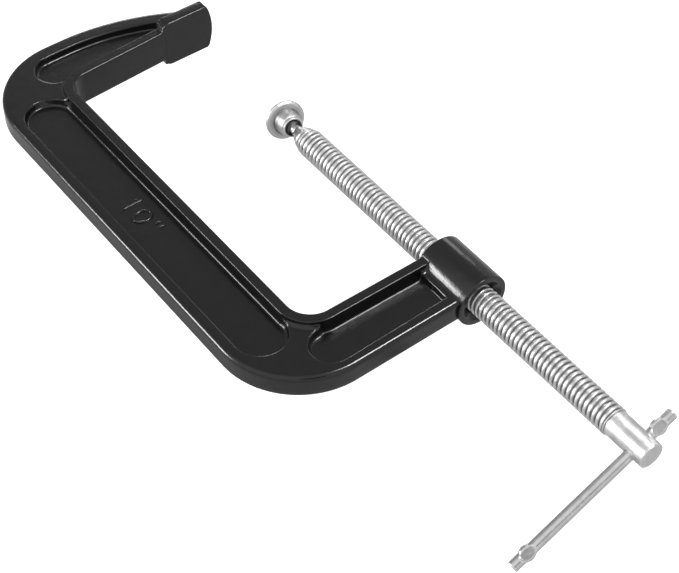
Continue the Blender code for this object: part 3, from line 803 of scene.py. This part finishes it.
def zinc_plate(name, tones, dull, grain_scale, bump):
    """Electroplated zinc: a metal whose grey and roughness drift with the plating, rougher in the hollows
    and darkened there as painted shade, lighter along outer edges as rubbed plating and a painted highlight."""
    made, tree, shader, surface, edges = finish_nodes(
        name, (tones[1],) * 3, 1.0, dull[0],
        {"Swell Scale": 160.0, "Peel Scale": grain_scale, "Grit Scale": 5200.0,
         "Swell": 0.15, "Peel": 0.5, "Grit": 0.35},
        {"Low": 0.06, "High": 0.5, "Breakup Scale": 1400.0, "Breakup": 0.5}, bump)
    low, high = ((tone, tone, tone * 1.01) for tone in tones)
    mottled = blend_colour(tree, surface.outputs["Mottle"], low, high)
    # Painted shade: hollows such as the thread's roots darkened towards near black.
    hollow_painted_shade = blend_colour(tree, maths(tree, "MULTIPLY", edges.outputs["Hollow"], 0.85), mottled,
                           (0.035, 0.035, 0.037))
    # Outer edges lightened: partly rubbed plating, partly a painted highlight.
    colour = blend_colour(tree, maths(tree, "MULTIPLY", edges.outputs["Edge"], 0.5), hollow_painted_shade,
                          (0.88, 0.88, 0.88))
    tree.links.new(colour, shader.inputs["Base Color"])
    grain = between(tree, surface.outputs["Grit"], *dull)
    tree.links.new(maths(tree, "ADD", grain, maths(tree, "MULTIPLY", edges.outputs["Hollow"], 0.15)),
                   shader.inputs["Roughness"])
    return made


piece("screw_spindle", *screw_surface(), "screw", "clamp_screw", "screw_zinc",
      zinc_plate("zinc_screw", (0.46, 0.76), (0.18, 0.38), 900.0, 0.28))

# ---------------------------------------------------------------------------------------------------
# The ring.  A phosphated steel ring behind the ball, which is pressed into the pad's socket and keeps
# the pad on the screw.
# ---------------------------------------------------------------------------------------------------

RING_OUTER = 6.3
RING_SEAT = 5.3
RING_BORE = 4.0
RING_SPAN = (0.4, 4.3)


def ball_arc(radius, start, end, count):
    """(x, r) points on a sphere about the ball's centre, evenly turned between two places along x."""
    a = np.linspace(np.arccos(start / radius), np.arccos(end / radius), count)
    return np.stack([radius * np.cos(a), radius * np.sin(a)], axis=-1)


low, high = RING_SPAN
profile = np.concatenate([ball_arc(RING_OUTER, low, high, 14), [(high, RING_BORE)],
                          ball_arc(RING_SEAT, np.sqrt(RING_SEAT ** 2 - RING_BORE ** 2), low, 12)])
rings = spun(profile) + np.array([BALL_X, 0.0, 0.0])
made, tree, shader, surface, edges = finish_nodes(
    "phosphate", (0.05, 0.05, 0.055), 1.0, 0.5,
    {"Swell Scale": 400.0, "Peel Scale": 1500.0, "Grit Scale": 5000.0,
     "Swell": 0.2, "Peel": 0.4, "Grit": 0.4},
    {"Low": 0.2, "High": 0.9}, 0.05)
colour = blend_colour(tree, surface.outputs["Mottle"], (0.03, 0.03, 0.033), (0.08, 0.08, 0.085))
# Outer edges lightened: partly rubbed phosphate, partly a painted highlight.
rubbed_and_highlit = blend_colour(tree, edges.outputs["Edge"], colour, (0.25, 0.25, 0.25))
tree.links.new(rubbed_and_highlit, shader.inputs["Base Color"])
tree.links.new(between(tree, surface.outputs["Grit"], 0.4, 0.6), shader.inputs["Roughness"])
faces = grid_faces(len(profile), ROUND_STEPS, wrap_rows=True, wrap_columns=True)
piece("pad_socket_ring", rings, faces, "ring", "pad_ring", "ring_phosphate", made)

# ---------------------------------------------------------------------------------------------------
# The pad.  A turned steel disc with a collar in one piece.  The collar's lip is rolled in over the
# ring, so the pad swivels on the ball.  Zinc plated, a little duller than the bar.
# ---------------------------------------------------------------------------------------------------

PAD_TILT = radians(17.5)
PAD_TILT_TOWARDS = radians(-55.0)
PAD_FACE = -9.8
PAD_BACK = -6.2
PAD_RADIUS = 13.7
COLLAR_RADIUS = 8.25
SOCKET_RADIUS = 6.6
SEAT_RADIUS = 5.3
SEAT_DEPTH = 2.8
MOUTH_RADIUS = 5.6


def pad_surface():
    """The pad's outline spun about its own axis, then turned to its tilt about the ball's centre."""
    outside = rounded([
        (PAD_FACE, 0.0, 0.0), (PAD_FACE, 12.2, 0.5), (PAD_FACE + 0.5, 13.3, 0.5),
        (PAD_FACE + 1.1, PAD_RADIUS, 0.6), (PAD_BACK - 1.0, PAD_RADIUS, 1.1),
        (PAD_BACK + 0.1, PAD_RADIUS - 1.5, 0.8), (PAD_BACK + 0.25, COLLAR_RADIUS + 0.4, 1.2),
        (-1.4, COLLAR_RADIUS, 3.0), (2.4, 7.3, 2.4), (3.1, 6.55, 0.35), (3.6, 6.6, 0.3), (4.2, 7.0, 0.5),
        (5.3, 6.9, 0.5), (5.5, 6.1, 0.4), (4.9, 5.75, 0.3),
        (np.sqrt(SOCKET_RADIUS ** 2 - MOUTH_RADIUS ** 2), MOUTH_RADIUS, 0.0)], steps=5)
    mouth = np.sqrt(SOCKET_RADIUS ** 2 - MOUTH_RADIUS ** 2)
    inside = ball_arc(SOCKET_RADIUS, mouth - 0.3, -SEAT_DEPTH, 14)
    seat = ball_arc(SEAT_RADIUS, -SEAT_DEPTH, -SEAT_RADIUS, 12)
    rings = spun(np.concatenate([outside, inside, seat]))
    mouth_way = Vector((np.cos(PAD_TILT), -np.sin(PAD_TILT) * np.cos(PAD_TILT_TOWARDS),
                        -np.sin(PAD_TILT) * np.sin(PAD_TILT_TOWARDS)))
    turn = np.array(Vector((1.0, 0.0, 0.0)).rotation_difference(mouth_way).to_matrix())
    rings = rings @ turn.T + np.array([BALL_X, 0.0, 0.0])
    return weld(rings, grid_faces(len(rings), ROUND_STEPS, wrap_columns=True))


piece("pad_disc_and_collar", *pad_surface(), "pad", "swivel_pad", "pad_zinc",
      zinc_plate("zinc_pad", (0.36, 0.62), (0.28, 0.46), 1100.0, 0.32))

# ---------------------------------------------------------------------------------------------------
# The sliding bar.  A steel rod through the screw's head.  After it is put in, each end is pinched in
# a press, which swells it sideways past the hole so that it can't come out.  Bright zinc plate.
# ---------------------------------------------------------------------------------------------------

BAR_RADIUS = 3.66
BAR_ENDS = (-98.8, 26.6)
BAR_EDGE = 0.8
BAR_ROLL = radians(-57.0)
CRIMP_FROM_TIP = 11.6
CRIMP_LENGTH = 5.6
CRIMP_WIDTH = 4.9
CRIMP_SWELL = 3.5
CRIMP_THICKNESS = 2.7
BAR_STEPS = 64


def bar_surface():
    """Sections across the bar: (w cos a, s sin a), a circle that swells to an ellipse at each pinch,
    with s sin a held to the half thickness that the press's flat jaws leave there."""
    start, end = BAR_ENDS
    tips = rounded([(start, 0.0, 0.0), (start, BAR_RADIUS, BAR_EDGE), (end, BAR_RADIUS, BAR_EDGE),
                    (end, 0.0, 0.0)])
    middle = len(tips) // 2
    t = np.concatenate([np.linspace(start + 1.5, start + 21.0, 60),
                        np.linspace(start + 25.0, end - 25.0, 20),
                        np.linspace(end - 21.0, end - 1.5, 60)])
    rod = np.stack([t, np.full_like(t, BAR_RADIUS)], axis=-1)
    rows = np.concatenate([tips[:middle], rod, tips[middle:]])
    t, r = rows[:, :1], rows[:, 1:]
    off = np.minimum(np.abs(t - start - CRIMP_FROM_TIP), np.abs(t - end + CRIMP_FROM_TIP))
    bulge = np.sqrt(np.maximum(1.0 - (off / CRIMP_LENGTH) ** 2, 0.0))
    w = soft_max(r, CRIMP_WIDTH * bulge, 0.5 * (r > 3.0))
    s = soft_max(r, CRIMP_SWELL * bulge, 0.2 * (r > 3.0))
    jaw = CRIMP_THICKNESS + 1.2 * ease((off - 3.4) / 3.0)
    a = np.linspace(0.0, 2.0 * np.pi, BAR_STEPS, endpoint=False)
    across, high = w * np.cos(a), s * np.sin(a)
    flat = np.sign(high) * -soft_max(-np.abs(high), -jaw, 0.25 * (off < 8.0))
    flat = np.where(np.abs(high) < 1.0, high, flat)
    along = np.array([0.0, np.cos(BAR_TURN), np.sin(BAR_TURN)])
    down = np.array([1.0, 0.0, 0.0])
    normal = np.cos(BAR_ROLL) * down + np.sin(BAR_ROLL) * np.cross(along, down)
    wide = np.cross(along, normal)
    points = (t[..., None] * along + across[..., None] * wide + flat[..., None] * normal
              + np.array([BAR_X, 0.0, 0.0]))
    return weld(points, grid_faces(len(rows), BAR_STEPS, wrap_columns=True)[:, ::-1])


piece("bar_rod", *bar_surface(), "bar", "tommy_bar", "bar_zinc",
      zinc_plate("zinc_bar", (0.45, 0.72), (0.16, 0.32), 800.0, 0.16))

# ---------------------------------------------------------------------------------------------------
# The table, the light and the camera.
# ---------------------------------------------------------------------------------------------------

TABLE_BELOW = 26.0
TABLE_HALF = 3000.0
CAMERA_TARGET = (252.25, -61.22, 0.0)
CAMERA_DISTANCE = 1114.3
CAMERA_AZIMUTH = radians(53.52)
CAMERA_ELEVATION = radians(47.21)
CAMERA_ROLL = radians(-0.49)
CAMERA_LENS = 97.71
PAPER = 0.45
PAPER_LIFT = 0.9
WALL_LIGHT = 1.0
SHADES = [((-0.30, 0.90, 0.30), -0.1, 0.6, 0.6), ((-0.95, 0.0, 0.30), 0.55, 0.85, 0.45),
          ((-0.546, 0.404, 0.734), 0.80, 0.97, 0.42), ((0.78, -0.28, 0.56), 0.955, 0.99, 0.03)]
LAMP_DISTANCE = 1.6
SOFTBOXES = [("softbox_left", (-0.55, -0.80, 0.24), 0.60, 20.0),
             ("softbox_top", (0.15, 0.40, 0.90), 0.45, 36.0),
             ("softbox_back", (-0.55, 0.72, 0.42), 0.35, 3.0),
             ("softbox_far", (-0.86, 0.40, 0.30), 0.35, 9.0)]

level = cad_bounds[0][2] / MM - TABLE_BELOW
h = TABLE_HALF
sheet = bpy.data.meshes.new("table")
sheet.from_pydata([(x * h * MM, y * h * MM, level * MM) for x, y in ((-1, -1), (1, -1), (1, 1), (-1, 1))],
                  [], [(0, 1, 2, 3)])
table = bpy.data.objects.new("table", sheet)
bpy.context.scene.collection.objects.link(table)
paper = bpy.data.materials.new("white_paper")
paper.use_nodes = True
tree = paper.node_tree
shader = tree.nodes["Principled BSDF"]
shader.inputs["Base Color"].default_value = (*(PAPER,) * 3, 1.0)
shader.inputs["Roughness"].default_value = 0.9
shader.inputs["Emission Color"].default_value = (1.0, 1.0, 1.0, 1.0)
seen = tree.nodes.new("ShaderNodeLightPath").outputs["Is Camera Ray"]
tree.links.new(maths(tree, "MULTIPLY", seen, PAPER_LIFT), shader.inputs["Emission Strength"])
table.data.materials.append(paper)

world = bpy.data.worlds.new("studio")
world.use_nodes = True
tree = world.node_tree
way = tree.nodes.new("ShaderNodeTexCoord").outputs["Generated"]
radiance = WALL_LIGHT
for direction, low, high, value in SHADES:
    dot = tree.nodes.new("ShaderNodeVectorMath")
    dot.operation = "DOT_PRODUCT"
    dot.inputs[1].default_value = Vector(direction).normalized()
    tree.links.new(way, dot.inputs[0])
    patch = tree.nodes.new("ShaderNodeMapRange")
    patch.interpolation_type = "SMOOTHSTEP"
    patch.inputs["From Min"].default_value = low
    patch.inputs["From Max"].default_value = high
    tree.links.new(dot.outputs["Value"], patch.inputs["Value"])
    kept = maths(tree, "SUBTRACT", 1.0, patch.outputs["Result"])
    radiance = maths(tree, "ADD", maths(tree, "MULTIPLY", kept, radiance),
                     maths(tree, "MULTIPLY", patch.outputs["Result"], value))
tree.links.new(radiance, tree.nodes["Background"].inputs["Strength"])
tree.nodes["Background"].inputs["Color"].default_value = (1.0, 1.0, 1.0, 1.0)
bpy.context.scene.world = world
bpy.context.scene.view_settings.view_transform = "Standard"

for name, direction, size, value in SOFTBOXES:
    lamp = bpy.data.lights.new(name, "AREA")
    lamp.shape = "DISK"
    lamp.size = size
    lamp.energy = value * np.pi * np.pi * size ** 2 / 4
    made = bpy.data.objects.new(name, lamp)
    toward = Vector(direction).normalized()
    made.location = Vector(CAMERA_TARGET) * MM + toward * LAMP_DISTANCE
    made.rotation_euler = toward.to_track_quat("Z", "Y").to_euler()
    bpy.context.scene.collection.objects.link(made)

camera = bpy.data.objects.new("camera", bpy.data.cameras.new("camera"))
back = Vector((np.cos(CAMERA_ELEVATION) * np.sin(CAMERA_AZIMUTH),
               -np.cos(CAMERA_ELEVATION) * np.cos(CAMERA_AZIMUTH), np.sin(CAMERA_ELEVATION)))
right = Vector((0.0, 0.0, 1.0)).cross(back).normalized()
up = back.cross(right)
turned_right = right * np.cos(CAMERA_ROLL) + up * np.sin(CAMERA_ROLL)
turned_up = up * np.cos(CAMERA_ROLL) - right * np.sin(CAMERA_ROLL)
place = (Vector(CAMERA_TARGET) + back * CAMERA_DISTANCE) * MM
turned = Matrix((turned_right, turned_up, back)).transposed().to_4x4()
camera.matrix_world = Matrix.Translation(place) @ turned
camera.data.lens = CAMERA_LENS
camera.data.clip_start = 0.01
camera.data.clip_end = 20.0
bpy.context.scene.collection.objects.link(camera)
bpy.context.scene.camera = camera
